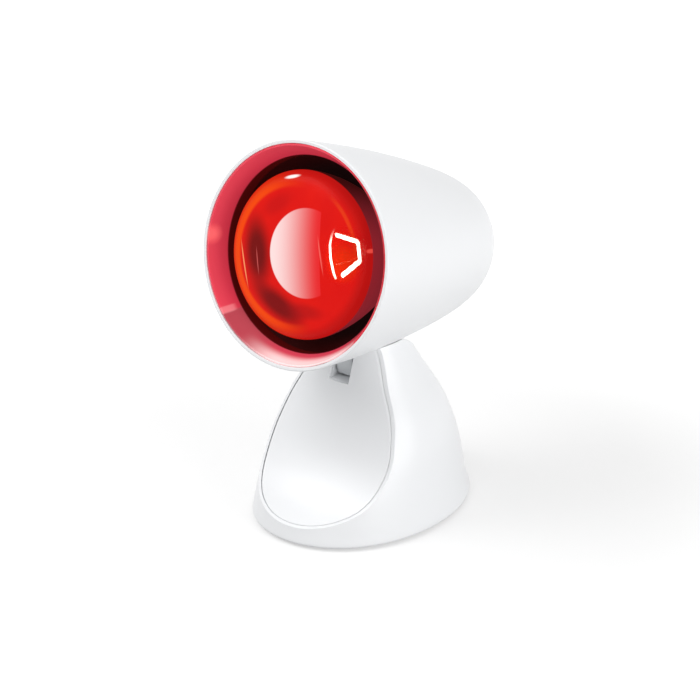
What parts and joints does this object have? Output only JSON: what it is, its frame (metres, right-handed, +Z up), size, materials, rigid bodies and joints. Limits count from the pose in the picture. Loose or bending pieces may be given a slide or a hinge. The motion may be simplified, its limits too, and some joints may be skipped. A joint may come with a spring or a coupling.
{
  "type": "infrared heat therapy lamp",
  "caption": "Infrared heat lamp: bullet-shaped white head with a red reflector bulb in a glossy funnel bezel, tilting in steps on a bell-shaped foot with an egg-shaped front panel",
  "frame": {"origin": "centre of the whole lamp's box at the underside of the rubber pads, with the head level at its lowest setting", "axes": "+Z up, -Y the way the lamp shines, +X across the lamp, along its mirror plane's normal"},
  "size_m": [0.129, 0.179, 0.2383],
  "materials": {
    "white_plastic": "satin white moulding",
    "bezel_plastic": "high gloss white",
    "shield_sheet": "matt dark coat",
    "red_glass": "red tinted glass",
    "stem_glass": "clear glass",
    "black_glass": "black insulator glass",
    "brass": "rolled brass",
    "tin": "tinned",
    "filament_wire": "glowing coil",
    "porcelain": "glazed cream",
    "steel": "zinc plated",
    "spring_steel": "blued spring steel",
    "ballast_iron": "rough cast",
    "arm_nylon": "light grey nylon",
    "grey_plastic": "fine texture",
    "pad_rubber": "matt",
    "block_plastic": "natural nylon"
  },
  "bodies": {
    "foot": {"foot_shell": "white_plastic", "front_panel": "white_plastic", "bottom_plate": "grey_plastic", "foot_pad_1": "pad_rubber", "foot_pad_2": "pad_rubber", "foot_pad_3": "pad_rubber", "foot_pad_4": "pad_rubber", "plate_screw_1": "steel", "plate_screw_2": "steel", "plate_screw_3": "steel", "plate_screw_4": "steel", "ballast_weight": "ballast_iron", "ballast_screw_1": "steel", "ballast_screw_2": "steel", "terminal_block": "block_plastic", "cord_clamp": "block_plastic", "clamp_screw_1": "steel", "clamp_screw_2": "steel", "cord_gland": "pad_rubber", "pivot_pin": "steel", "pin_clip": "spring_steel", "pivot_washer_1": "spring_steel", "pivot_washer_2": "spring_steel", "detent_spring": "spring_steel"},
    "head": {"head_shell": "white_plastic", "front_bezel": "bezel_plastic", "heat_shield": "shield_sheet", "bulb_glass": "red_glass", "bulb_stem": "stem_glass", "bulb_cap": "brass", "cap_insulator": "black_glass", "bulb_contact": "tin", "filament": "filament_wire", "lead_wire_1": "tin", "lead_wire_2": "tin", "lampholder": "porcelain", "holder_thread": "brass", "holder_contact": "brass", "holder_ring": "steel", "holder_strap": "steel", "strap_screw_1": "steel", "strap_screw_2": "steel", "tilt_arm": "arm_nylon", "arm_screw_1": "steel", "arm_screw_2": "steel"}
  },
  "joints": [
    {"name": "head_tilt", "type": "hinge", "parent": "foot", "child": "head", "pos_m": [0, -0.00381, 0.0965], "axis": [-1, 0, 0], "range_deg": [0, 24]}
  ]
}
